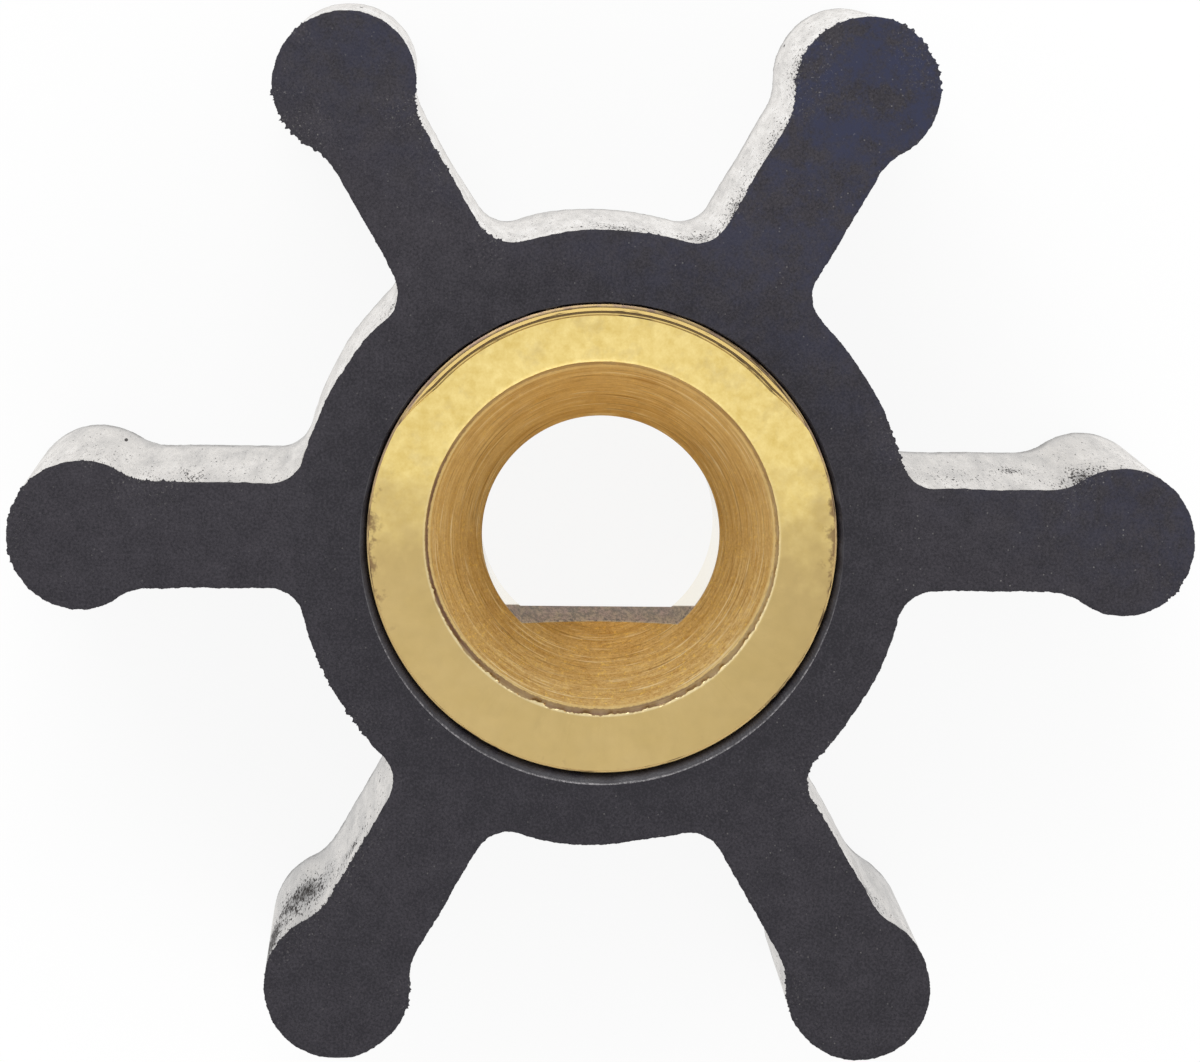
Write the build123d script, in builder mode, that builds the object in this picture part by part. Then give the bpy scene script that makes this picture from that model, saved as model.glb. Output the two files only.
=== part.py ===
"""Flexible six-vane pump impeller: a rubber vane wheel moulded round a turned brass insert.

Millimetres. +Z is the shaft axis. The wheel lies on its back face at Z = 0 with its front face up,
the origin is the centre of the back face, and the flat of the shaft seat is on the -Y side.
"""
from build123d import *
import os

# The pump shaft that the insert fits: its end is round with one milled flat, and a thicker
# shoulder lies behind that.
shaft_d = 8.0
shaft_across_flat = 7.0
shaft_shoulder_d = 10.0
seat_clearance = 0.02       # radial, between the shaft and the round of its seat
flat_clearance = 0.05       # between the shaft's flat and the seat's flat
shoulder_clearance = 0.10   # radial, between the shoulder and the bore behind the seat

# Brass insert
insert_d = 15.8
seat_depth = 9.0            # front face to the back end of the flat
countersink_d = 11.9        # mouth of the 90-degree countersink at each end
rim_chamfer = 0.12

# Rubber vane wheel
wheel_d = 40.0              # over the tips of the vanes
wheel_width = 19.0
hub_d = 20.7
vane_count = 6
vane_thickness = 3.46
bead_d = 4.92               # the round bead that thickens each vane's tip
bead_blend = 2.0            # hollow curve from a vane's flank into its bead
root_fillet = 1.2           # hollow curve from a vane's flank into the hub
lip_bevel = 0.3             # the rubber stands back from the insert's rim at each face

# Fits and places
insert_length = wheel_width
seat_r = shaft_d / 2 + seat_clearance
flat_y = -(shaft_across_flat - shaft_d / 2 + flat_clearance)
shoulder_bore_r = shaft_shoulder_d / 2 + shoulder_clearance
shoulder_bore_depth = insert_length - seat_depth
countersink_r = countersink_d / 2
bead_centre = (wheel_d - bead_d) / 2


def off_axis(vertex):
    """Distance of a vertex from the shaft axis."""
    return Vector(vertex.X, vertex.Y).length


# One moulding: the hub ring and its vanes share one outline from face to face. The corners of the
# outline lie on three circles: where flanks meet the hub, where they meet the beads, and the tips.
with BuildPart() as vane_wheel:
    with BuildSketch() as outline:
        Circle(hub_d / 2)
        with PolarLocations(0, vane_count):
            Rectangle(bead_centre, vane_thickness, align=(Align.MIN, Align.CENTER))
        with PolarLocations(bead_centre, vane_count):
            Circle(bead_d / 2)
        fillet(outline.vertices().group_by(off_axis)[1], bead_blend)
        fillet(outline.vertices().group_by(off_axis)[0], root_fillet)
    extrude(amount=wheel_width)
    Hole(insert_d / 2)
    chamfer(vane_wheel.edges(Select.LAST).filter_by(GeomType.CIRCLE), lip_bevel)
vane_wheel.part.label = "rubber_vane_wheel"

# A turned bush, flush with the rubber at both faces. The D-shaped seat takes the shaft's end from
# the front, the plain bore behind it clears the shaft's shoulder, and a cone opens each mouth.
with BuildPart() as insert:
    with BuildSketch():
        Circle(insert_d / 2)
    extrude(amount=insert_length)
    chamfer(insert.edges().filter_by(GeomType.CIRCLE), rim_chamfer)
    with BuildSketch(Plane.XY.offset(insert_length)):
        Circle(seat_r)
        with Locations((0, flat_y)):
            Rectangle(2 * seat_r, seat_r, align=(Align.CENTER, Align.MAX), mode=Mode.SUBTRACT)
    extrude(amount=-seat_depth, mode=Mode.SUBTRACT)
    with BuildSketch():
        Circle(shoulder_bore_r)
    extrude(amount=shoulder_bore_depth, mode=Mode.SUBTRACT)
    with Locations(Location((0, 0, insert_length)), Location((0, 0, 0), (180, 0, 0))):
        Cone(0, countersink_r, countersink_r, align=(Align.CENTER, Align.CENTER, Align.MAX),
             mode=Mode.SUBTRACT)
insert.part.label = "brass_insert"

os.makedirs("parts", exist_ok=True)
export_step(vane_wheel.part, "parts/rubber_vane_wheel.step")
export_step(insert.part, "parts/brass_insert.step")
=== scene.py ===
import math
from functools import partial

import bpy
import bmesh
import numpy as np
from mathutils import Matrix, Vector


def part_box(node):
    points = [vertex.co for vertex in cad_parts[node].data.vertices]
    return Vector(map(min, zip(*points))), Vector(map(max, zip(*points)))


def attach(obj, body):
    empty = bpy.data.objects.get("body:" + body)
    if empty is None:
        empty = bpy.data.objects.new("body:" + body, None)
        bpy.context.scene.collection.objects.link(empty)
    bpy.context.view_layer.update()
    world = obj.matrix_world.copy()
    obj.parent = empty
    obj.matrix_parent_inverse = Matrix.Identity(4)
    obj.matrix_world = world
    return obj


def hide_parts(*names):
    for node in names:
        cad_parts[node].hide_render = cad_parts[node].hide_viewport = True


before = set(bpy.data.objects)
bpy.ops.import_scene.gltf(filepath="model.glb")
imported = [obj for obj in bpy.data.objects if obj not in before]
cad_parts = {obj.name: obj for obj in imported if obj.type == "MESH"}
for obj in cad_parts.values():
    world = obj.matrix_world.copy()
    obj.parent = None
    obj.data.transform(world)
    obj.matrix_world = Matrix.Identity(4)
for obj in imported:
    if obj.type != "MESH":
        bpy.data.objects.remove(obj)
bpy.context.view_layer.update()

# ------------------------------------------------------------------------------------------------
# Rubber vane wheel
# One moulding of black neoprene: a hub ring with six straight vanes, each thickened into a round
# bead at its tip. Both end faces were ground flat after moulding, which tore a ragged lip along
# their edges, and the flanks keep the mould's glossy skin under a little grey bloom.
# ------------------------------------------------------------------------------------------------
MM = 0.001
wheel_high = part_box("rubber_vane_wheel")[1]
wheel_width = wheel_high.z / MM
tip_r = wheel_high.x / MM
vane_count = 6
hub_r = 10.35
flank_y = 1.73              # half a vane's thickness
bead_r = 2.46
bead_x = tip_r - bead_r
root_fillet = 1.2
bead_blend = 2.0
insert_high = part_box("brass_insert")[1]
insert_r = insert_high.x / MM
lip_r = 8.14                # where the face falls away towards the insert
lip_centre = np.array([0.0, -0.18])     # the mould's core stood a little low
samples_per_mm = 28

# How far the moulding strays from its drawn outline, in mm: for each vane, anticlockwise from +X,
# at the hub, half way up the stem and on the bead of its clockwise half, then of its other half,
# and last at its tip.
stray = [
    ((0.01, -0.05, 0.03), (0.05, 0.02, 0.03), -0.04),
    ((0.01, 0.09, 0.00), (0.01, 0.01, -0.06), -0.05),
    ((0.03, -0.15, 0.01), (0.03, -0.03, -0.04), -0.03),
    ((0.01, 0.06, 0.02), (0.02, 0.05, 0.07), 0.00),
    ((0.05, 0.00, 0.03), (0.03, -0.02, -0.01), 0.03),
    ((-0.05, 0.00, -0.06), (0.00, 0.15, 0.02), -0.02),
]


def arc(centre, radius, start, end, count, hollow=False):
    """Points round a circle's arc from one angle towards another, with unit normals that point
    out of the rubber: away from the centre, or towards it where the arc is hollow."""
    angle = np.linspace(start, end, count, endpoint=False)
    ray = np.stack([np.cos(angle), np.sin(angle)], -1)
    return np.array(centre) + radius * ray, -ray if hollow else ray


def half_vane():
    """Half a vane's outline, from the middle of the gap between two vanes to the vane's tip on +X.
    Five tangent stretches follow each other: an arc of the hub, the root's hollow arc, the straight
    flank, the hollow arc into the bead, and the bead. Returns the points and their normals, each
    point's angle round the lip and share of the way from the lip to the bead, and how many of the
    points lie on the hub and its root."""
    root_y = flank_y + root_fillet
    root_x = math.sqrt((hub_r + root_fillet) ** 2 - root_y**2)
    root_angle = math.atan2(root_y, root_x)
    blend_y = flank_y + bead_blend
    blend_x = bead_x - math.sqrt((bead_r + bead_blend) ** 2 - blend_y**2)
    bead_angle = math.atan2(blend_y, bead_x - blend_x)
    gap = math.pi / vane_count

    def count(length):
        return int(math.ceil(length * samples_per_mm))

    hub = arc((0, 0), hub_r, -gap, -root_angle, count(hub_r * (gap - root_angle)))
    root = arc((root_x, -root_y), root_fillet, math.pi - root_angle, math.pi / 2,
               count(root_fillet * (math.pi / 2 - root_angle)), hollow=True)
    flank_count = count(blend_x - root_x)
    flank_x = np.linspace(root_x, blend_x, flank_count, endpoint=False)
    flank = (np.stack([flank_x, np.full(flank_count, -flank_y)], -1),
             np.tile([0.0, -1.0], (flank_count, 1)))
    blend = arc((blend_x, -blend_y), bead_blend, math.pi / 2, bead_angle,
                count(bead_blend * (math.pi / 2 - bead_angle)), hollow=True)
    bead = arc((bead_x, 0), bead_r, bead_angle - math.pi, 0,
               count(bead_r * (math.pi - bead_angle)))
    tip = (np.array([[bead_x + bead_r, 0.0]]), np.array([[1.0, 0.0]]))
    stretches = [hub, root, flank, blend, bead, tip]
    points = np.concatenate([stretch[0] for stretch in stretches])
    normals = np.concatenate([stretch[1] for stretch in stretches])
    on_hub = len(hub[0]) + len(root[0])
    on_stem = len(flank[0]) + len(blend[0])
    index = np.arange(len(points))
    lip_angle = -gap * np.clip(1 - index / on_hub, 0, 1)
    outward = np.clip((index - on_hub) / on_stem, 0, 1)
    return points, normals, lip_angle, outward, on_hub


def both_halves(half, mirrored):
    """A whole vane from its half: the half, then its mirror image back from the tip."""
    return np.concatenate([half[:-1], mirrored[:0:-1]])


def turned(points, angle):
    """Points turned about the shaft axis."""
    c, s = np.cos(angle), np.sin(angle)
    return points @ np.array([[c, s], [-s, c]])


def round_noise(count, low, high, seed):
    """A random wave with no seam that runs `count` points round a closed line. It adds up sines of
    `low` to `high` turns with random phases, and its spread about zero is 1."""
    rng = np.random.default_rng(seed)
    spectrum = np.zeros(count // 2 + 1, complex)
    spectrum[low:high] = np.exp(2j * np.pi * rng.random(high - low))
    wave = np.fft.irfft(spectrum, count)
    return wave / wave.std()


def grid_faces(rows, columns, first):
    """Quads between neighbouring rows of a grid of points, each row closed on itself."""
    row = np.arange(rows - 1)[:, None]
    column = np.arange(columns)[None, :]
    beside = (column + 1) % columns
    quads = np.stack([row * columns + column, row * columns + beside,
                      (row + 1) * columns + beside, (row + 1) * columns + column], -1)
    return quads.reshape(-1, 4) + first


half, half_normals, half_lip, half_out, on_hub = half_vane()
flip = np.array([1.0, -1.0])
vane_points = both_halves(half, half * flip)
vane_normals = both_halves(half_normals, half_normals * flip)
vane_lip = both_halves(half_lip, -half_lip)
vane_out = both_halves(half_out, half_out)
columns = vane_count * len(vane_points)
vane_angles = 2 * np.pi * np.arange(vane_count) / vane_count


def half_stray(amounts, tip):
    """A half vane's straying along its length: its amounts, each held a while, joined by slopes."""
    hub, stem, bead = amounts
    return np.interp(np.linspace(0, 1, len(half)), [0.12, 0.38, 0.56, 0.70, 0.82, 0.93],
                     [hub, stem, stem, bead, bead, tip])


def stray_round(width):
    """The straying all round the wheel, averaged over `width` points so that it has no corners."""
    line = np.concatenate([both_halves(half_stray(clockwise, tip), half_stray(anticlockwise, tip))
                           for clockwise, anticlockwise, tip in stray])
    padded = np.pad(line, width // 2, mode="wrap")
    return np.convolve(padded, np.ones(width) / width, mode="valid")[:columns]


outline, outline_normals, anchors = [], [], []
for angle, shift in zip(vane_angles, np.split(stray_round(len(half) // 8), vane_count)):
    outline.append(turned(vane_points + shift[:, None] * vane_normals, angle))
    outline_normals.append(turned(vane_normals, angle))
    ring = np.stack([np.cos(angle + vane_lip), np.sin(angle + vane_lip)], -1)
    ring = lip_centre + lip_r * ring
    bead = turned(np.array([[bead_x, 0.0]]), angle)
    anchors.append((1 - vane_out)[:, None] * ring + vane_out[:, None] * bead)
outline, outline_normals, anchors = map(np.concatenate, (outline, outline_normals, anchors))

# How the moulded flank ripples all along the outline, in mm.
ripple = 0.011 * round_noise(columns, 20, 90, 3) + 0.005 * round_noise(columns, 90, 400, 4)
across = np.arange(columns) / len(vane_points)     # vane number, and the share of the way across it


def stretch_of(vane, start, end):
    """1 within a stretch of one vane's outline, fading to 0 over its ends."""
    place = (across - vane + vane_count / 2) % vane_count - vane_count / 2
    middle, reach = (start + end) / 2, (end - start) / 2
    return np.clip((reach - np.abs(place - middle)) / (0.3 * reach), 0, 1)


# Where grinding tore the lip most: vane number, start and end across it, and how badly.
torn_places = [
    (0, 0.42, 0.46, 0.7), (0, 0.655, 0.715, 1.1), (0, 0.89, 0.96, 0.9), (1, 0.40, 0.52, 1.1),
    (1, 0.56, 0.73, 1.0), (1, 0.63, 0.70, 0.6), (1, 0.79, 0.84, 0.7), (1, 0.93, 0.96, 0.5),
    (2, 0.11, 0.16, 0.9), (2, 0.20, 0.33, 0.9), (2, 0.28, 0.315, 1.2), (2, 0.50, 0.53, 0.8),
    (2, 0.59, 0.61, 1.6), (2, 0.62, 0.70, 1.4), (3, 0.24, 0.34, 1.0), (3, 0.35, 0.37, 0.8),
    (3, 0.42, 0.55, 0.7), (3, 0.95, 1.00, 0.6), (4, 0.02, 0.07, 0.8), (4, 0.17, 0.41, 0.9),
    (4, 0.64, 0.69, 0.8), (5, 0.30, 0.36, 0.8), (5, 0.80, 0.94, 0.6),
]
torn_all_round = 0.28
torn_share = torn_all_round + sum(how * stretch_of(v, a, b) for v, a, b, how in torn_places)


def torn_lip(seed):
    """How far the torn lip stands out of the flank, in mm. It is a short random wave cut off above
    and below, which leaves crumbs of rubber side by side, on a longer wave."""
    crumbs = np.clip(round_noise(columns, 500, 2100, seed) + 0.1, 0, 1.6)
    rag = np.clip(round_noise(columns, 150, 700, seed + 1), -1.5, 1.5)
    return torn_share * (0.028 * crumbs + 0.020 * rag)


# Rows from the edge of the ground front face down the flank to the edge of the back face: inset from
# the outline and height above the back face, both in mm, share of the torn lip, share of the ripple.
skin_rows = np.array([
    [0.140, wheel_width, 0.0, 1.0],
    [0.045, wheel_width - 0.010, 0.5, 1.0],
    [0.005, wheel_width - 0.040, 1.0, 1.0],
    [0.020, wheel_width - 0.110, 0.5, 1.0],
    [0.012, wheel_width - 0.280, 0.0, 1.0],
    [0.005, wheel_width - 0.900, 0.0, 0.8],
    [0.005, 13.0, 0.0, 0.3],
    [0.000, 6.0, 0.0, -0.3],
    [0.005, 0.500, 0.0, -0.6],
    [0.010, 0.060, 0.15, -0.6],
    [0.060, 0.008, 0.1, -0.6],
    [0.160, 0.000, 0.0, -0.6],
])
glossy_from, glossy_to = 4, 9       # the rows between which the flank keeps its moulded skin
inset, height, torn, rippled = (skin_rows[:, k][:, None] for k in range(4))
out = torn * torn_lip(11) - inset + rippled * ripple
flat = outline[None] + out[..., None] * outline_normals[None]

# The beads swell but stay inside the wheel's drawn reach: from a knee short of it, the skin eases
# towards the reach and never gets there.
reach = np.array([wheel_high.x, wheel_high.y]) / MM
knee = 0.08
beyond = np.abs(flat) - (reach - knee)
flat = np.where(beyond > 0, np.sign(flat) * (reach - knee + knee * np.tanh(beyond / knee)), flat)
skin = np.concatenate([flat, np.broadcast_to(height, out.shape)[..., None]], -1)
fringe = 1.8                # how far down the flank, in mm, the torn lip left its dirt
torn_skin = torn_share * np.clip(1 - (wheel_width - height) / fringe, 0, 1)


def end_cap(edge, level):
    """A flat end face, ruled from the row at its edge in to the lip or to the middle of a vane."""
    face = np.stack([edge[:, :2], anchors])
    return np.concatenate([face, np.full(face.shape[:2] + (1,), level)], -1)


front_cap = end_cap(skin[0], wheel_width)
back_cap = end_cap(skin[-1], 0.0)

# Rows from the lip down the rubber's bevel to the insert: share of the way out from the insert's
# wall to the lip, and depth below the face in mm.
groove_rows = np.array([
    [1.00, 0.000], [0.96, 0.003], [0.90, 0.012], [0.84, 0.030], [0.70, 0.065], [0.52, 0.110],
    [0.38, 0.180], [0.24, 0.300], [0.00, 0.520],
])
ring_lip = np.concatenate([half_lip[:on_hub], -half_lip[on_hub:0:-1]])
ring_angle = (vane_angles[:, None] + ring_lip[None, :]).ravel()
ring_ray = np.stack([np.cos(ring_angle), np.sin(ring_angle)], -1)
groove_wave = 0.010 * round_noise(len(ring_angle), 12, 60, 31)
groove_wave += 0.004 * round_noise(len(ring_angle), 100, 500, 32)


def groove(top):
    """The rubber's bevel from its lip to the insert, a hollow curve that gets steeper. The lip
    keeps its drawn circle, the bevel below it waves a little."""
    share, depth = groove_rows[:, 0][:, None, None], groove_rows[:, 1][:, None]
    line = share * (lip_centre + lip_r * ring_ray) + (1 - share) * insert_r * ring_ray
    line = line + 4 * share * (1 - share) * (groove_wave[:, None] * ring_ray)
    level = np.broadcast_to(wheel_width - depth if top else depth, line.shape[:2])
    return np.concatenate([line, level[..., None]], -1)


bore = np.concatenate([groove(True), groove(False)[::-1]])


def piece_from_grids(name, grids, materials):
    """One closed mesh from several grids of points in mm, each closed round its rows. `grids` lists
    the points, a material number and how torn the edge is there, which the materials read as the
    attribute "torn". Points that meet are merged."""
    points, faces, finish, torn_here, first = [], [], [], [], 0
    for grid, number, torn_amount in grids:
        quads = grid_faces(grid.shape[0], grid.shape[1], first)
        faces.append(quads)
        finish.append(np.full(len(quads), number))
        points.append(grid.reshape(-1, 3))
        torn_here.append(np.broadcast_to(torn_amount, grid.shape[:2]).ravel())
        first += len(points[-1])
    mesh = bpy.data.meshes.new(name)
    mesh.from_pydata(np.concatenate(points) * MM, [], np.concatenate(faces))
    torn_values = mesh.attributes.new("torn", "FLOAT", "POINT").data
    torn_values.foreach_set("value", np.concatenate(torn_here).astype(np.float32))
    for material in materials:
        mesh.materials.append(material)
    mesh.polygons.foreach_set("material_index", np.concatenate(finish).astype(np.int32))
    work = bmesh.new()
    work.from_mesh(mesh)
    bmesh.ops.remove_doubles(work, verts=work.verts, dist=2e-7)
    bmesh.ops.dissolve_degenerate(work, edges=work.edges, dist=1e-8)
    bmesh.ops.recalc_face_normals(work, faces=work.faces)
    work.to_mesh(mesh)
    work.free()
    mesh.polygons.foreach_set("use_smooth", np.ones(len(mesh.polygons), bool))
    mesh.set_sharp_from_angle(angle=math.radians(38))
    piece = bpy.data.objects.new(name, mesh)
    bpy.context.scene.collection.objects.link(piece)
    return piece


def linear(code):
    """A colour from its sRGB hex code, as linear red, green, blue and alpha."""
    share = np.array([int(code[i:i + 2], 16) for i in (1, 3, 5)]) / 255
    value = np.where(share <= 0.04045, share / 12.92, ((share + 0.055) / 1.055) ** 2.4)
    return (*value, 1.0)


def add_node(tree, kind, *values, out=None, **settings):
    """Adds one node and returns its output called `out`, or else its first output. Values go to its
    inputs in their order, and a hex code becomes a colour. A setting with a capital is an input's
    name, with _ for a space, and any other is one of the node's own properties."""
    node = tree.nodes.new("ShaderNode" + kind)
    for name, value in settings.items():
        if name[0].islower():
            setattr(node, name, value)
    given = list(zip([socket for socket in node.inputs if socket.enabled], values))
    given += [(node.inputs[name.replace("_", " ")], value)
              for name, value in settings.items() if name[0].isupper()]
    for socket, value in given:
        if isinstance(value, bpy.types.NodeSocket):
            tree.links.new(value, socket)
        else:
            socket.default_value = linear(value) if isinstance(value, str) else value
    return node.outputs[out] if out else next((s for s in node.outputs if s.enabled), node)


def new_material(name):
    """An empty node material, and add_node bound to its tree."""
    material = bpy.data.materials.new(name)
    material.use_nodes = True
    material.node_tree.nodes.clear()
    return material, partial(add_node, material.node_tree)


def in_millimetres(add):
    """The place on the object in millimetres. A pattern on it has a scale of 1 over the size of its
    features in mm, and W picks one of the many patterns that differ by chance alone."""
    place = add("TexCoord", out="Object")
    return add("Mapping", Vector=place, Scale=(1 / MM, 1 / MM, 1 / MM))


def ground_neoprene():
    """Neoprene rubber, ground flat: dull charcoal with a close grain, and bluish in patches, more of
    them towards +X and +Y. Painted shade darkens it towards -Y and next to the insert. Faint pale
    specks of dust grow towards +X and crowd along the torn edges. The grit left finer marks than the
    0.09 mm drawn here, which would not show."""
    material, add = new_material("ground_neoprene")
    mm = in_millimetres(add)
    axes = add("SeparateXYZ", Vector=mm).node.outputs

    grain = add("TexNoise", mm, Scale=1 / 0.09, Detail=3.0, Roughness=0.8, noise_dimensions="4D")
    mottle = add("TexNoise", mm, W=8.0, Scale=1 / 0.9, Detail=4.0, Roughness=0.7,
                 noise_dimensions="4D")
    axis_line = add("CombineXYZ", Z=axes["Z"])
    radius = add("VectorMath", mm, axis_line, operation="DISTANCE")
    grain_tone = add("MapRange", grain, 0.36, 0.64, -0.1, 0.75)
    mottle_tone = add("MapRange", mottle, 0.36, 0.64, 0.02, 0.33)
    # Painted shade: darker towards -Y and within a few mm of the insert.
    painted_low_shade = add("MapRange", axes["Y"], -14.0, 10.0, -0.18, 0.02)
    painted_inner_shade = add("MapRange", radius, 8.5, 11.0, -0.20, 0.0)
    tone = add("Math", grain_tone, mottle_tone, operation="ADD")
    tone = add("Math", tone, painted_low_shade, operation="ADD")
    tone = add("Math", tone, painted_inner_shade, operation="ADD")
    charcoal = add("Mix", tone, "#1f1d23", "#3b383e", data_type="RGBA")

    # Bluish patches, more of them towards +X and +Y.
    patches = add("TexNoise", mm, Scale=1 / 1.2, Detail=6.0, Roughness=0.8, noise_dimensions="4D")
    bluish_side = add("VectorMath", mm, (0.5, 0.87, 0.0), operation="DOT_PRODUCT")
    bluish_share = add("Math", add("MapRange", patches, 0.43, 0.60),
                    add("MapRange", bluish_side, 6.0, 19.0, 0.0, 1.25), operation="MULTIPLY")
    bluish = add("Mix", bluish_share, charcoal, "#2b2e44", data_type="RGBA")

    cells = add("TexVoronoi", Vector=mm, Scale=1 / 0.26)
    thin_out = add("TexNoise", mm, W=3.0, Scale=1 / 0.9, Roughness=0.6, noise_dimensions="4D")
    specks = add("Math", add("MapRange", cells, 0.05, 0.13, 0.15, 0.0),
                 add("MapRange", thin_out, 0.42, 0.62), operation="MULTIPLY")
    specks = add("Math", specks, add("MapRange", axes["X"], -12.0, 14.0, 0.8, 1.8),
                 operation="MULTIPLY")
    torn_near = add("Attribute", out="Fac", attribute_name="torn")
    crumbs = add("TexNoise", mm, W=12.0, Scale=1 / 0.10, Detail=3.0, Roughness=0.8,
                 noise_dimensions="4D")
    crowded = add("Math", add("MapRange", torn_near, 0.55, 1.3, 0.0, 0.3),
                  add("MapRange", crumbs, 0.58, 0.68), operation="MULTIPLY")
    dust = add("Math", specks, crowded, operation="MAXIMUM")

    colour = add("Mix", dust, bluish, "#b5b2ab", data_type="RGBA")
    bump = add("Bump", Strength=0.6, Distance=0.02 * MM, Height=grain)
    rubber = add("BsdfPrincipled", Base_Color=colour, Roughness=0.8, Specular_IOR_Level=0.35,
                 Normal=bump)
    add("OutputMaterial", Surface=rubber)
    return material


# Where the flanks are scuffed: place on the outline, how far round it, at which height, how far up
# and down from there, and how badly. Past 1 only the grey between the dots still grows.
scuffed_places = [
    (16.1, 2.3, 1.7, 17.5, 7.5, 1.3), (12.0, 1.7, 3.4, 13.0, 8.0, 0.65),
    (17.5, 2.4, 2.5, 8.0, 9.0, 0.25), (-15.4, 1.9, 1.5, 16.0, 7.0, 0.55),
    (-13.0, 1.7, 3.0, 18.0, 6.0, 0.30), (-17.5, 2.4, 2.5, 13.0, 8.0, 0.40),
    (-10.1, -13.1, 2.3, 11.5, 8.0, 1.6), (-11.2, -14.3, 2.2, 15.0, 8.0, 1.6),
    (-8.7, -10.8, 2.2, 14.8, 3.5, 1.2), (9.5, -12.3, 1.6, 15.5, 5.5, 1.0),
    (6.4, 15.6, 2.2, 19.0, 13.0, 1.1), (4.6, 11.0, 2.6, 17.5, 9.0, 1.0),
    (-7.2, 7.6, 1.3, 15.5, 5.0, 0.9), (-3.4, 10.4, 1.3, 16.5, 3.5, 0.7),
    (0.5, 10.3, 2.8, 17.0, 6.5, 1.0), (-13.9, 1.8, 1.6, 17.0, 8.0, 0.8),
    (5.6, 13.3, 1.8, 17.5, 9.0, 1.0), (3.2, 10.0, 1.5, 16.0, 8.0, 1.1),
    (14.4, 1.7, 1.2, 9.5, 4.0, 1.0),
]


def moulded_neoprene():
    """Neoprene rubber as it left the mould: a smooth glossy black skin with a little grey bloom,
    both drawn out in upright streaks where the wheel slid from the mould. The gloss grows towards
    the front and +Y. Scuffs dull it in stippled patches, most under the torn lip of the front face,
    as do stuck crumbs here and there and wear along the back edge."""
    material, add = new_material("moulded_neoprene")
    mm = in_millimetres(add)
    axes = add("SeparateXYZ", Vector=mm).node.outputs
    drawn = add("Mapping", Vector=mm, Scale=(1.0, 1.0, 0.08))
    clouds = add("TexNoise", drawn, Scale=1 / 0.55, Detail=4.0, Roughness=0.7,
                 noise_dimensions="4D")
    stipple = add("TexNoise", drawn, W=2.0, Scale=1 / 0.065, Roughness=0.8, noise_dimensions="4D")

    # How badly the skin is scuffed: by chance, at the places above, at the torn lip and a little
    # all over towards the front, and everywhere less where the bloom is thin.
    by_chance = add("TexNoise", drawn, W=5.0, Scale=1 / 1.8, Detail=3.0, Roughness=0.6,
                    noise_dimensions="4D")
    scuff = add("Math", add("MapRange", by_chance, 0.52, 0.70),
                add("MapRange", axes["Z"], 9.0, wheel_width - 1.0, 0.0, 0.7), operation="MULTIPLY")
    for x, y, around, middle, tall, how in scuffed_places:
        away = add("VectorMath", mm, (x, y, 0.0), operation="SUBTRACT")
        away = add("VectorMath", away, (1.0, 1.0, 0.0), operation="MULTIPLY")
        away = add("VectorMath", away, operation="LENGTH")
        above = add("Math", axes["Z"], middle, operation="SUBTRACT")
        above = add("Math", above, operation="ABSOLUTE")
        here = add("Math", add("MapRange", away, around, 0.1 * around, 0.0, how),
                   add("MapRange", above, tall, 0.1 * tall), operation="MULTIPLY")
        scuff = add("Math", scuff, here, operation="MAXIMUM")
    torn_near = add("Attribute", out="Fac", attribute_name="torn")
    scuff = add("Math", scuff, add("MapRange", torn_near, 0.1, 1.2), operation="MAXIMUM")
    scuff = add("Math", scuff, add("MapRange", axes["Z"], 2.0, 16.0, 0.05, 0.38),
                operation="MAXIMUM")
    scuff = add("Math", scuff, add("MapRange", clouds, 0.3, 0.55, 0.5, 1.0), operation="MULTIPLY")

    # A scuff shows as dull dots, more of them the worse it is, over an even grey.
    greyed = add("Math", scuff, scuff, operation="MULTIPLY")
    greyed = add("Math", greyed, 0.27, operation="MULTIPLY")
    threshold = add("MapRange", scuff, 0.0, 1.0, 0.66, 0.50)
    dots = add("Math", stipple, threshold, operation="SUBTRACT")
    dots = add("MapRange", dots, -0.01, 0.08, 0.0, 0.75)
    dull = add("Math", dots, greyed, operation="ADD")
    back_edge = add("Math", add("MapRange", axes["Z"], 2.6, 0.3),
                    add("MapRange", clouds, 0.3, 0.6, 0.15, 0.40), operation="MULTIPLY")
    dull = add("Math", dull, back_edge, operation="MAXIMUM")
    cells = add("TexVoronoi", Vector=drawn, Scale=1 / 0.9)
    thin_out = add("TexNoise", drawn, W=6.0, Scale=1 / 1.5, Roughness=0.6, noise_dimensions="4D")
    crumbs = add("Math", add("MapRange", cells, 0.05, 0.09, 0.9, 0.0),
                 add("MapRange", thin_out, 0.52, 0.56), operation="MULTIPLY")
    dull = add("Math", dull, crumbs, operation="MAXIMUM")

    # The slick, faintly yellowed outermost skin, as a coat: worn off where the rubber is dull.
    slick = add("Math", add("MapRange", clouds, 0.35, 0.65, 0.30, 0.65),
                add("MapRange", axes["Y"], -14.0, 12.0, 0.62, 1.80), operation="MULTIPLY")
    slick = add("Math", slick, add("MapRange", axes["Z"], 1.0, 17.0, 0.75, 1.15),
                operation="MULTIPLY")
    slick = add("Math", slick, add("MapRange", stipple, 0.4, 0.6, 1.10, 0.88), operation="MULTIPLY")
    slick = add("Math", slick, add("MapRange", dull, 0.0, 0.6, 1.0, 0.0), operation="MULTIPLY")

    bloom = add("Mix", add("MapRange", clouds, 0.3, 0.7), "#2a282b", "#413e3e", data_type="RGBA")
    colour = add("Mix", dull, bloom, "#352e2b", data_type="RGBA")
    gloss = add("MapRange", clouds, 0.35, 0.65, 0.22, 0.14)
    roughness = add("Math", gloss, dull, operation="MAXIMUM")
    bump = add("Bump", Strength=0.25, Distance=0.02 * MM, Height=stipple)
    rubber = add("BsdfPrincipled", Base_Color=colour, Roughness=roughness, IOR=1.58,
                 Coat_Weight=slick, Coat_Roughness=0.10, Coat_Tint="#fff6ea", Normal=bump)
    add("OutputMaterial", Surface=rubber)
    return material


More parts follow.
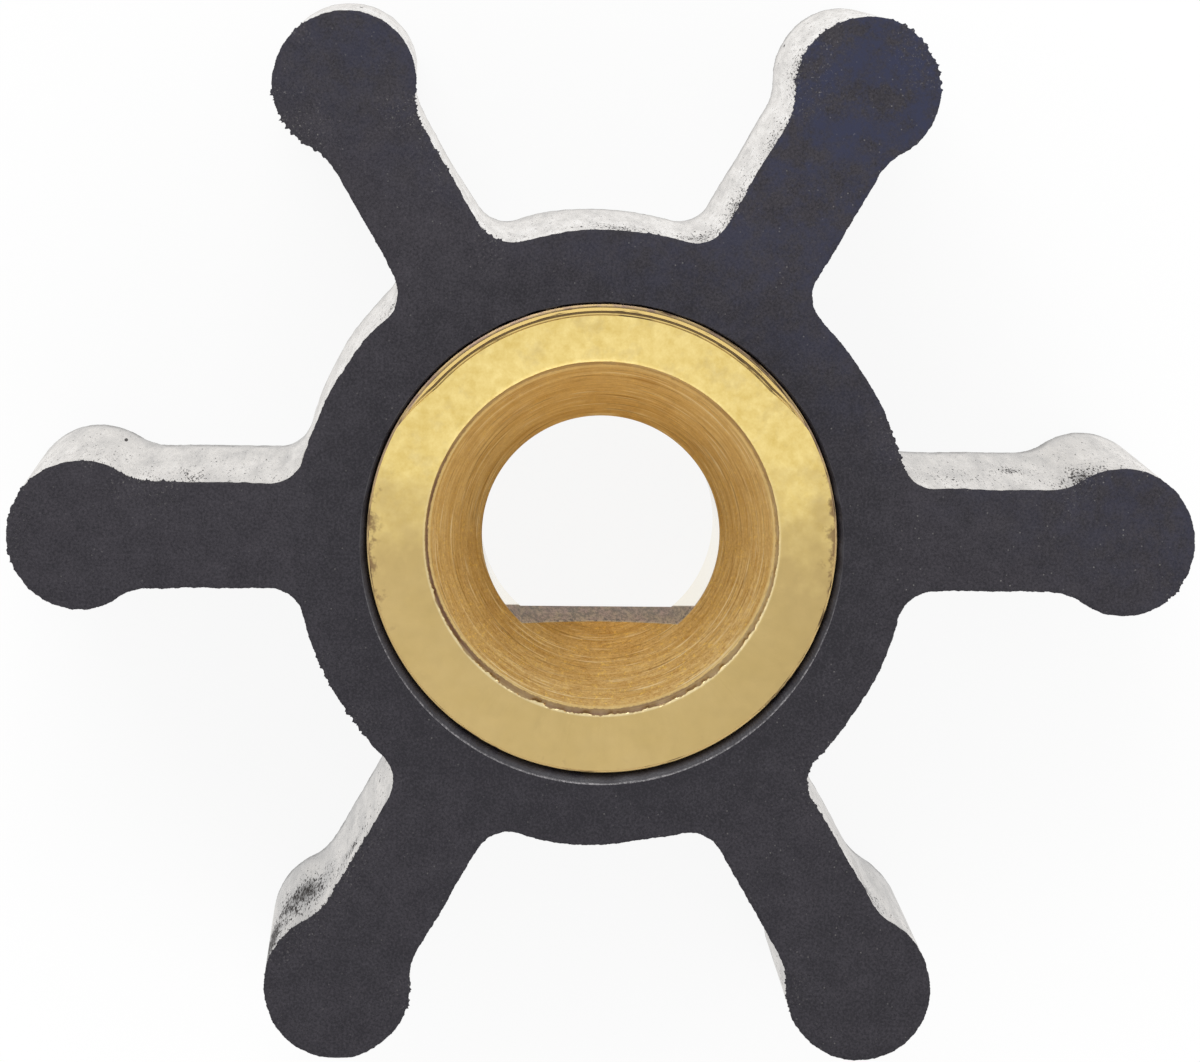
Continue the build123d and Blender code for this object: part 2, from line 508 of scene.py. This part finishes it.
def bevelled_neoprene():
    """The moulded bevel round the insert: clean black rubber with a sheen and a close grain. Its lip
    carries a painted highlight, a thin broken pale line along the lower half."""
    material, add = new_material("bevelled_neoprene")
    mm = in_millimetres(add)
    axes = add("SeparateXYZ", Vector=mm).node.outputs
    grain = add("TexNoise", mm, Scale=1 / 0.09, Detail=3.0, Roughness=0.8, noise_dimensions="4D")
    clean = add("Mix", grain, "#1d1b20", "#3a383e", data_type="RGBA")
    # Painted highlight: a pale broken line along the lip over the lower half, where it catches the
    # light.
    lip = add("Math", add("MapRange", axes["Z"], wheel_width - 0.034, wheel_width - 0.006),
              add("MapRange", axes["Y"], -1.0, -4.5), operation="MULTIPLY")
    broken = add("TexNoise", mm, W=6.0, Scale=1 / 0.11, Detail=4.0, Roughness=0.85,
                 noise_dimensions="4D")
    broken = add("MapRange", broken, 0.44, 0.66, 0.04, 0.8)
    painted_edge_highlight = add("Math", lip, broken, operation="MULTIPLY")
    colour = add("Mix", painted_edge_highlight, clean, "#aaa6a8", data_type="RGBA")
    roughness = add("MapRange", grain, 0.4, 0.6, 0.30, 0.55)
    bump = add("Bump", Strength=0.5, Distance=0.03 * MM, Height=grain)
    rubber = add("BsdfPrincipled", Base_Color=colour, Roughness=roughness, IOR=1.5, Normal=bump)
    add("OutputMaterial", Surface=rubber)
    return material


# The wheel's materials by their number, and which of them each strip between two rows has.
ground, moulded, bevelled = range(3)
strip_finish = [moulded if glossy_from <= k < glossy_to else ground for k in range(len(skin) - 1)]
vane_wheel = piece_from_grids(
    "vane_wheel",
    [(skin[k:k + 2], finish, torn_skin[k:k + 2]) for k, finish in enumerate(strip_finish)]
    + [(front_cap, ground, np.stack([torn_share, 0 * torn_share])), (back_cap, ground, 0),
       (bore, bevelled, 0)],
    [ground_neoprene(), moulded_neoprene(), bevelled_neoprene()])
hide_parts("rubber_vane_wheel")
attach(vane_wheel, "root")

# ------------------------------------------------------------------------------------------------
# Brass insert
# A bush turned from brass bar, which the rubber is moulded round. The shaft's end sits in a D-shaped
# seat with a tarnished flat, and a countersink with plain tool rings opens each mouth.
# ------------------------------------------------------------------------------------------------
insert_width = insert_high.z / MM
seat_r = 4.02
flat_distance = 3.05
seat_depth = 9.0
shoulder_bore_r = 5.1
mouth_r = 5.95
face_sink = 0.02            # the face lies this far below the burr at the countersink's edge
angle_count = 720
back_bevel = 0.12           # at the rim of the back face

# The angles round the shaft axis, with the flat's two corners among them, and the line of the
# D-shaped seat at each: its round, cut off by the flat on the side of -Y.
corner = math.acos(flat_distance / seat_r)
even = np.linspace(-np.pi, np.pi, angle_count, endpoint=False)
turn = np.unique(np.concatenate([even, [-np.pi / 2 - corner, -np.pi / 2 + corner]]))
towards_flat = np.clip(-np.sin(turn), 1e-6, None)
seat_line = np.minimum(seat_r, flat_distance / towards_flat)


def lathe_rows(rows):
    """Rows of a turned surface: each is a radius and a height, either of which may vary round the
    axis, so a row is a circle or any closed line about it."""
    shaped = [np.stack([radius * np.cos(turn), radius * np.sin(turn), 0 * turn + height], -1)
              for radius, height in rows]
    return np.stack(shaped)


def burr(seed, low, high):
    """A ragged line round the countersink's edge, worst on the side that the cutter left last."""
    lower = np.clip(0.35 - np.sin(turn), 0.15, 1.2)
    return lower * round_noise(len(turn), low, high, seed)


front = insert_width - face_sink
mouth = mouth_r + 0.012 * burr(5, 60, 300) + 0.016 * burr(7, 12, 60)
foot_height = front - (mouth_r - seat_line)
back_step = insert_width - seat_depth
cone_share = np.linspace(0.02, 1, 26)

# The facing cut stopped short of the rim over the top of the face and left a scored band there. It
# is 0.4 mm wide up to 48 degrees off the top and narrows to 0.07 mm by 62 degrees.
off_top = np.abs(np.angle(np.exp(1j * (turn - np.pi / 2))))
band = 0.07 + 0.33 * np.clip((math.radians(62) - off_top) / math.radians(14), 0, 1)
burr_top = np.minimum(front + 0.6 * face_sink + 0.004 * burr(6, 60, 300), insert_width)

# Rows across that band: share of the way in from the rim, and depth below the face as a share of
# the band's width. An outer slope and a land lead to two scored lines.
band_shares = [(0.00, 0.35), (0.06, 0.22), (0.30, 0.12), (0.34, 0.06), (0.60, 0.04), (0.64, 0.14),
               (0.76, 0.14), (0.80, 0.03), (0.90, 0.03), (0.92, 0.09), (0.96, 0.09), (1.00, 0.00)]
outer_rows = lathe_rows([
    (insert_r - back_bevel, 0.0), (insert_r, back_bevel), (insert_r, insert_width / 2),
    (insert_r, front - 0.35 * band)])
band_rows = lathe_rows([(insert_r - inward * band, front - below * band)
                        for inward, below in band_shares])
face_rows = lathe_rows([
    (insert_r - band, front), (insert_r - band - 0.05, front),
    (mouth + 0.13, front), (mouth + 0.06, front + 0.3 * face_sink),
    (mouth + 0.012, burr_top), (mouth, front)])
cone_rows = lathe_rows([(mouth, front)] + [
    (mouth_r + (seat_line - mouth_r) * share, front + (foot_height - front) * share)
    for share in cone_share])
seat_rows = lathe_rows([
    (seat_line, foot_height), (seat_line, 0.5 * (foot_height + back_step)),
    (seat_line, back_step + 0.05), (seat_line + 0.04, back_step)])
shoulder_rows = lathe_rows([
    (seat_line + 0.04, back_step), (shoulder_bore_r, back_step),
    (shoulder_bore_r, mouth_r - shoulder_bore_r)])
back_cone_rows = lathe_rows([(shoulder_bore_r, mouth_r - shoulder_bore_r), (mouth_r, 0.0)])
back_face_rows = lathe_rows([(mouth_r, 0.0), (insert_r - back_bevel, 0.0)])


def round_axis(add, mm, drawn_out):
    """The object's axes, the distance from the shaft axis, and a vector that changes `drawn_out`
    times slower round the axis than away from it, so noise on it makes tool rings with no seam. It
    is the unit ray from the axis, scaled by a middle radius over `drawn_out`, with the distance
    as its Z."""
    middle_r = 5.0
    axes = add("SeparateXYZ", Vector=mm).node.outputs
    across_axis = add("CombineXYZ", X=axes["X"], Y=axes["Y"])
    radius = add("VectorMath", across_axis, operation="LENGTH")
    ray = add("VectorMath", across_axis, operation="NORMALIZE")
    ray = add("VectorMath", ray, Scale=middle_r / drawn_out, operation="SCALE")
    outward = add("CombineXYZ", Z=radius)
    return axes, radius, add("VectorMath", ray, outward, operation="ADD")


def faced_brass():
    """Brass across the bush's face. The top half, the mottled facing cut under pale and grey clouds,
    is painted bright as if lit; the bottom half, a smooth satin, is painted darker, deeper towards
    +X, and ends in a painted highlight along the burr. Brown oxide spots the rim, most at its two
    sides."""
    material, add = new_material("faced_brass")
    mm = in_millimetres(add)
    axes, radius, ringed = round_axis(add, mm, 40)
    clouds = add("TexNoise", mm, Scale=1 / 1.3, Detail=3.0, Roughness=0.6, noise_dimensions="4D")
    mottle = add("TexNoise", mm, W=2.0, Scale=1 / 0.35, Detail=4.0, Roughness=0.75,
                 noise_dimensions="4D")
    haze = add("TexNoise", mm, W=7.0, Scale=1 / 1.0, Detail=4.0, Roughness=0.6,
               noise_dimensions="4D")

    # Painted light: the top half gets the bright cut colours as if lit, the bottom half the darker
    # satin.
    cut = add("Mix", add("MapRange", mottle, 0.25, 0.75), "#e3c56f", "#f3de98", data_type="RGBA")
    cut = add("Mix", add("MapRange", haze, 0.52, 0.70, 0.0, 0.5), cut, "#ccb680", data_type="RGBA")
    satin = add("Mix", add("MapRange", clouds, 0.3, 0.7), "#c8ae73", "#ceb47b", data_type="RGBA")
    satin = add("Mix", add("MapRange", axes["X"], 1.0, 7.0, 0.0, 0.5), satin, "#b39b66",
                data_type="RGBA")
    edge = add("Math", axes["Y"], add("MapRange", clouds, 0.3, 0.7, -1.2, 1.2), operation="ADD")
    painted_lit_half = add("MapRange", edge, -1.6, 2.8)
    metal = add("Mix", painted_lit_half, satin, cut, data_type="RGBA")
    # Painted highlight: a pale line just outside the mouth over the bottom half, where the burr
    # catches light.
    burr_highlight = add("Math", add("MapRange", radius, mouth_r + 0.04, mouth_r + 0.09, 1.0, 0.0),
                  add("MapRange", axes["Y"], 2.0, -3.0, 0.1, 0.7), operation="MULTIPLY")
    metal = add("Mix", burr_highlight, metal, "#f2e2b4", data_type="RGBA")

    side = add("MapRange", add("Math", axes["Y"], operation="ABSOLUTE"), 1.2, 3.2, 1.0, 0.25)
    at_rim = add("Math", add("MapRange", radius, 7.15, 7.85), side, operation="MULTIPLY")
    blots = add("TexNoise", mm, W=4.0, Scale=1 / 0.45, Detail=3.0, Roughness=0.7,
                noise_dimensions="4D")
    blots = add("Math", blots, add("Math", at_rim, 0.22, operation="MULTIPLY"), operation="ADD")
    oxide = add("Math", add("MapRange", blots, 0.66, 0.78, 0.0, 0.8), at_rim, operation="MULTIPLY")

    colour = add("Mix", oxide, metal, "#6d5040", data_type="RGBA")
    roughness = add("MapRange", mottle, 0.3, 0.7, 0.32, 0.42)
    rings = add("TexNoise", ringed, W=1.0, Scale=1 / 0.09, Roughness=0.6, noise_dimensions="4D")
    bump = add("Bump", Strength=0.5, Distance=0.001 * MM, Height=rings)
    brass = add("BsdfPrincipled", Base_Color=colour, Metallic=1.0, Roughness=roughness,
                Normal=bump)
    add("OutputMaterial", Surface=brass)
    return material


def scored_brass():
    """The uncut band at the rim of the bush: brass gone greyish pink on its outer slope over the
    top and nearly black in its scored lines, with dark ticks and the odd bright rub."""
    material, add = new_material("scored_brass")
    mm = in_millimetres(add)
    axes, radius, ringed = round_axis(add, mm, 12)
    ticks = add("TexNoise", ringed, Scale=1 / 0.10, Detail=3.0, Roughness=0.8,
                noise_dimensions="4D")
    ticks = add("MapRange", ticks, 0.54, 0.61, 0.0, 0.9)
    rubs = add("TexNoise", mm, W=3.0, Scale=1 / 0.6, Roughness=0.6, noise_dimensions="4D")
    rubs = add("Math", add("MapRange", rubs, 0.42, 0.58, 0.0, 0.5),
               add("MapRange", axes["Y"], 3.0, -1.0, 0.0, 0.7), operation="MAXIMUM")
    inner = add("MapRange", radius, insert_r - 0.11, insert_r - 0.14)
    clean = add("Math", rubs, inner, operation="MAXIMUM")
    worn = add("Mix", clean, "#a58d7a", "#d8bd7a", data_type="RGBA")
    scored = add("Math", add("MapRange", axes["Z"], front - 0.026, front - 0.050), inner,
                 operation="MULTIPLY")
    scored = add("Math", scored, 0.85, operation="MULTIPLY")
    dark = add("Math", ticks, scored, operation="MAXIMUM")
    colour = add("Mix", dark, worn, "#4c3a30", data_type="RGBA")
    brass = add("BsdfPrincipled", Base_Color=colour, Metallic=1.0, Roughness=0.45)
    add("OutputMaterial", Surface=brass)
    return material


def countersunk_brass():
    """The countersinks: deep yellow brass with close tool rings under a fine brown grain, golden
    specks painted as highlights, brown clouds, dark lines that the cutter drew round and pale lines
    along them painted as highlights. At the mouth a paler ring leads to a ragged brown line, which
    is widest at the bottom. The cutter's finest marks are drawn no closer than 0.045 mm, because
    they would not show."""
    material, add = new_material("countersunk_brass")
    mm = in_millimetres(add)
    axes, radius, ringed = round_axis(add, mm, 50)
    shorter = add("Mapping", Vector=ringed, Scale=(16.0, 16.0, 1.0))
    rings = add("TexNoise", ringed, Scale=1 / 0.10, Detail=4.0, Roughness=0.75,
                noise_dimensions="4D")
    grain = add("TexNoise", shorter, W=2.0, Scale=1 / 0.045, Detail=3.0, Roughness=0.85,
                noise_dimensions="4D")
    lower = add("MapRange", axes["Y"], 3.0, -3.5, 0.35, 1.0)
    metal = add("Mix", add("MapRange", rings, 0.34, 0.66), "#cfa864", "#efd396", data_type="RGBA")

    clouds = add("TexNoise", mm, W=9.0, Scale=1 / 0.9, Detail=3.0, Roughness=0.6,
                 noise_dimensions="4D")
    grained = add("Math", add("MapRange", grain, 0.42, 0.62, 0.0, 0.70), lower,
                  operation="MULTIPLY")
    brown = add("Math", grained, add("MapRange", clouds, 0.5, 0.7, 0.0, 0.25), operation="ADD")
    metal = add("Mix", brown, metal, "#b78a4c", data_type="RGBA")
    # Painted highlights: golden glints, more of them towards -Y.
    painted_glints = add("TexNoise", mm, W=5.0, Scale=1 / 0.12, Detail=4.0, Roughness=0.85,
                 noise_dimensions="4D")
    painted_glints = add("Math", add("MapRange", painted_glints, 0.54, 0.64, 0.0, 0.65), lower,
                 operation="MULTIPLY")
    metal = add("Mix", painted_glints, metal, "#ffdc74", data_type="RGBA")
    # Painted highlights: pale lines along the tool rings.
    lines = add("TexNoise", ringed, W=6.0, Scale=1 / 0.045, Roughness=0.6, noise_dimensions="4D")
    metal = add("Mix", add("MapRange", lines, 0.58, 0.67, 0.0, 0.65), metal, "#fbebc0",
                data_type="RGBA")
    grooves = add("TexNoise", ringed, W=8.0, Scale=1 / 0.05, Roughness=0.6, noise_dimensions="4D")
    metal = add("Mix", add("MapRange", grooves, 0.42, 0.34, 0.0, 0.5), metal, "#8f6a3a",
                data_type="RGBA")

    reach = add("Math", radius, add("MapRange", axes["Y"], -1.0, -4.5, 0.0, 0.08), operation="ADD")
    pale = add("TexNoise", ringed, W=11.0, Scale=1 / 0.30, Detail=3.0, Roughness=0.6,
               noise_dimensions="4D")
    pale = add("Math", add("MapRange", reach, mouth_r - 0.20, mouth_r - 0.17),
               add("MapRange", pale, 0.40, 0.60, 0.15, 0.7), operation="MULTIPLY")
    metal = add("Mix", pale, metal, "#f7e2a6", data_type="RGBA")
    ragged = add("Math", reach, add("MapRange", grain, 0.3, 0.7, -0.03, 0.03), operation="ADD")
    line = add("TexNoise", ringed, W=4.0, Scale=1 / 0.30, Detail=3.0, Roughness=0.6,
               noise_dimensions="4D")
    line = add("Math", add("MapRange", ragged, mouth_r - 0.12, mouth_r - 0.08),
               add("MapRange", line, 0.35, 0.55, 0.5, 1.0), operation="MULTIPLY")
    line = add("Math", line, add("MapRange", axes["Y"], 5.0, 2.0, 0.4, 1.0), operation="MULTIPLY")

    colour = add("Mix", line, metal, "#7f6455", data_type="RGBA")
    roughness = add("MapRange", grain, 0.3, 0.7, 0.26, 0.40)
    bump = add("Bump", Strength=1.0, Distance=0.006 * MM, Height=rings)
    brass = add("BsdfPrincipled", Base_Color=colour, Metallic=1.0, Roughness=roughness,
                Normal=bump)
    add("OutputMaterial", Surface=brass)
    return material


# The oxide on the seat ends along a slanting line: it reaches the back end of the flat, and on the
# round beside it climbs by this much of each mm towards the mouth.
oxide_climb = 0.0858
oxide_edge = -flat_distance + oxide_climb * seat_depth


def reamed_brass():
    """The shaft's seat and the bore behind it: brass reamed smooth, so that seen end-on its round
    mirrors what lies under the impeller. A mottled greyish brown oxide covers the flat, spreads from
    it up the round, and draws a thin line round the seat's mouth. Along the flat's front edge a pale
    line is painted as a highlight, above a row of dark pits."""
    material, add = new_material("reamed_brass")
    mm = in_millimetres(add)
    axes = add("SeparateXYZ", Vector=mm).node.outputs
    across_axis = add("CombineXYZ", X=axes["X"], Y=axes["Y"])
    radius = add("VectorMath", across_axis, operation="LENGTH")
    from_mouth = add("Math", radius, front - mouth_r, operation="ADD")
    from_mouth = add("Math", from_mouth, axes["Z"], operation="SUBTRACT")
    wear = add("TexNoise", mm, Scale=1 / 0.8, Roughness=0.6, noise_dimensions="4D")

    from_face = add("Math", insert_width, axes["Z"], operation="SUBTRACT")
    climbed = add("Math", from_face, oxide_climb, operation="MULTIPLY")
    spread = add("Math", axes["Y"], climbed, operation="ADD")
    oxide = add("Math", add("MapRange", spread, oxide_edge + 0.06, oxide_edge + 0.01),
                add("MapRange", from_mouth, 0.34, 0.22, 0.0, 0.7), operation="MAXIMUM")
    oxide = add("Math", oxide, add("MapRange", axes["Z"], back_step - 0.05, back_step),
                operation="MULTIPLY")

    drawn = add("Mapping", Vector=mm, Scale=(1.0, 1.0, 0.12))
    specks = add("TexNoise", drawn, Scale=1 / 0.12, Detail=4.0, Roughness=0.8,
                 noise_dimensions="4D")
    pinkish = add("TexNoise", drawn, W=2.0, Scale=1 / 0.5, Detail=3.0, Roughness=0.6,
                  noise_dimensions="4D")
    tarnish = add("Mix", add("MapRange", pinkish, 0.4, 0.6), "#b8a286", "#b8998c",
                  data_type="RGBA")
    tarnish = add("Mix", add("MapRange", specks, 0.42, 0.58, 0.90, 0.0), tarnish, "#6a5b50",
                  data_type="RGBA")
    pits = add("Math", add("MapRange", from_mouth, 1.5, 0.9),
               add("MapRange", specks, 0.50, 0.42, 0.0, 0.7), operation="MULTIPLY")
    tarnish = add("Mix", pits, tarnish, "#463a33", data_type="RGBA")
    # Painted highlight: a pale line along the flat's front edge, where the edge catches the light.
    on_flat = add("Math", add("MapRange", specks, 0.40, 0.55),
                  add("MapRange", axes["Y"], 0.03 - flat_distance, -flat_distance),
                  operation="MULTIPLY")
    painted_edge_highlight = add("Math", add("MapRange", from_mouth, 0.55, 0.40, 0.0, 0.8), on_flat,
                 operation="MULTIPLY")
    tarnish = add("Mix", painted_edge_highlight, tarnish, "#c9b48d", data_type="RGBA")

    clean = add("Mix", wear, "#f3e3b8", "#f8efd6", data_type="RGBA")
    colour = add("Mix", oxide, clean, tarnish, data_type="RGBA")
    metallic = add("MapRange", oxide, 0.0, 1.0, 1.0, 0.6)
    roughness = add("Math", add("MapRange", wear, 0.3, 0.7, 0.07, 0.12),
                    add("Math", oxide, 0.6, operation="MULTIPLY"), operation="MAXIMUM")
    brass = add("BsdfPrincipled", Base_Color=colour, Metallic=metallic, Roughness=roughness)
    add("OutputMaterial", Surface=brass)
    return material


# The bush's materials by their number.
faced, scored, countersunk, reamed = range(4)
bush = piece_from_grids(
    "insert_bush",
    [(outer_rows, scored, 0), (band_rows, scored, 0), (face_rows, faced, 0),
     (cone_rows, countersunk, 0), (seat_rows, reamed, 0), (shoulder_rows, reamed, 0),
     (back_cone_rows, countersunk, 0), (back_face_rows, faced, 0)],
    [faced_brass(), scored_brass(), countersunk_brass(), reamed_brass()])
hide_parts("brass_insert")
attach(bush, "root")

# ------------------------------------------------------------------------------------------------
# Studio
# A plain white table with soft light from all round, a softbox high over its far side and a weaker
# one over its near right corner, and a long-lens camera almost straight above the impeller.
# ------------------------------------------------------------------------------------------------
# The world is plain white to the eye and lights the impeller a little less strongly than that.
world = bpy.data.worlds.new("studio")
bpy.context.scene.world = world
world.use_nodes = True
world.node_tree.nodes.clear()
add = partial(add_node, world.node_tree)
ray = add("LightPath").node.outputs
seen = add("Math", ray["Is Camera Ray"], ray["Is Transmission Ray"], operation="MAXIMUM")
soft = add("Background", Color=(1, 1, 1, 1), Strength=0.80)
white = add("Background", Color=(1, 1, 1, 1), Strength=1.0)
add("OutputWorld", Surface=add("MixShader", seen, soft, white))


def softbox(name, place, size, watts):
    """A square softbox that faces the impeller."""
    data = bpy.data.lights.new(name, "AREA")
    data.size = size
    data.energy = watts
    light = bpy.data.objects.new(name, data)
    light.location = place
    light.rotation_euler = (-Vector(place)).to_track_quat("-Z", "Y").to_euler()
    bpy.context.scene.collection.objects.link(light)


softbox("main_softbox", (-0.08, 0.34, 0.46), 0.30, 1.4)
softbox("fill_softbox", (0.30, -0.20, 0.40), 0.40, 0.5)

table_reach = 3.0
table_top = -0.02 * MM      # a hair under the impeller, so that no two faces share a plane
corners = np.array([(-1, -1), (1, -1), (1, 1), (-1, 1)]) * table_reach
corners = np.column_stack([corners, np.full(4, table_top)])
table_mesh = bpy.data.meshes.new("table")
table_mesh.from_pydata(corners, [], [(0, 1, 2, 3)])
table = bpy.data.objects.new("table", table_mesh)
bpy.context.scene.collection.objects.link(table)


def white_laminate():
    """White laminate, lit so far up that it is nearly plain white to the eye and in mirrors, with
    just enough of its own paint left to take the impeller's shadow."""
    material, add = new_material("white_laminate")
    ray = add("LightPath").node.outputs
    seen = add("Math", ray["Is Camera Ray"], ray["Is Glossy Ray"], operation="MAXIMUM")
    seen = add("Math", seen, ray["Is Transmission Ray"], operation="MAXIMUM")
    share = add("Math", seen, 0.91, operation="MULTIPLY")
    paint = add("BsdfDiffuse", Color=(0.93, 0.93, 0.93, 1))
    glow = add("Emission", Color=(1, 1, 1, 1), Strength=1.0)
    add("OutputMaterial", Surface=add("MixShader", share, paint, glow))
    return material


table_mesh.materials.append(white_laminate())

px_per_mm = 29.78           # at the front face, in a picture 1200 px wide
picture_width = 1200
sensor = 36.0
camera_place = Vector((-0.0060, 0.0215, wheel_high.z + 0.277))
camera_aim = Vector((-0.00007, 0.000255, wheel_high.z))
camera_roll = math.radians(0.56)
eye = bpy.data.cameras.new("camera")
eye.sensor_width = sensor
eye.lens = px_per_mm / MM * sensor * (camera_aim - camera_place).length / picture_width
eye.clip_start = 0.01
camera = bpy.data.objects.new("camera", eye)
look = (camera_aim - camera_place).normalized()
right = look.cross(Vector((0, 1, 0))).normalized()
axes_of_view = Matrix((right, right.cross(look), -look)).transposed()
axes_of_view = axes_of_view @ Matrix.Rotation(camera_roll, 3, "Z")
camera.matrix_world = Matrix.Translation(camera_place) @ axes_of_view.to_4x4()
bpy.context.scene.collection.objects.link(camera)
bpy.context.scene.camera = camera
bpy.context.scene.view_settings.view_transform = "Standard"
